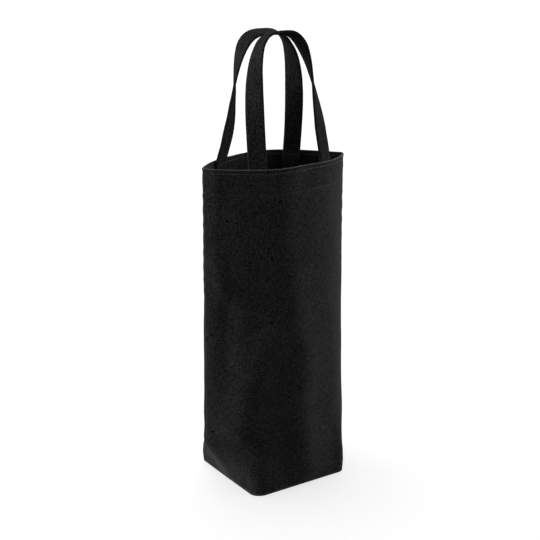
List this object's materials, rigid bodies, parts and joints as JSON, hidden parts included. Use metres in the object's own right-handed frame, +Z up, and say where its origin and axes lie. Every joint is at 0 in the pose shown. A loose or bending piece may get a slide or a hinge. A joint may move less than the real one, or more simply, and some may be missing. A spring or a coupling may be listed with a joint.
{
  "type": "bottle carrier bag",
  "caption": "Tall black canvas bag for a bottle, with a boxed flat base, a lens-shaped open mouth with a stitched hem, and a pair of twisted strap handles.",
  "frame": {"origin": "middle of the base's underside, where the bag stands", "axes": "+Z up to the handles, +X along the front panel to its right side seam seen from the front, +Y from the front panel to the back panel"},
  "size_m": [0.162, 0.1022, 0.445],
  "materials": {
    "canvas": "matte woven cotton canvas, dyed black",
    "webbing": "matte folded canvas strap, dyed black",
    "thread": "black polyester sewing thread with a slight sheen"
  },
  "bodies": {
    "bag": {"front_panel": "canvas", "back_panel": "canvas", "front_handle_left_end": "webbing", "front_handle_right_end": "webbing", "back_handle_left_end": "webbing", "back_handle_right_end": "webbing", "front_rim_topstitch": "thread", "front_hem_stitches": "thread", "back_rim_topstitch": "thread", "back_hem_stitches": "thread", "front_handle_left_end_stitches": "thread", "front_handle_right_end_stitches": "thread", "back_handle_left_end_stitches": "thread", "back_handle_right_end_stitches": "thread", "left_seam_overlock": "thread", "right_seam_overlock": "thread", "left_corner_overlock": "thread", "right_corner_overlock": "thread", "base_seam_overlock": "thread"},
    "front_handle": {"front_handle": "webbing"},
    "back_handle": {"back_handle": "webbing"}
  },
  "joints": [
    {"name": "front_handle_fold", "type": "hinge", "parent": "bag", "child": "front_handle", "pos_m": [0, -0.03437, 0.32], "axis": [1, 0, 0], "range_deg": [-0.8, 176]},
    {"name": "back_handle_fold", "type": "hinge", "parent": "bag", "child": "back_handle", "pos_m": [0, 0.03437, 0.32], "axis": [-1, 0, 0], "range_deg": [-0.8, 176]}
  ]
}
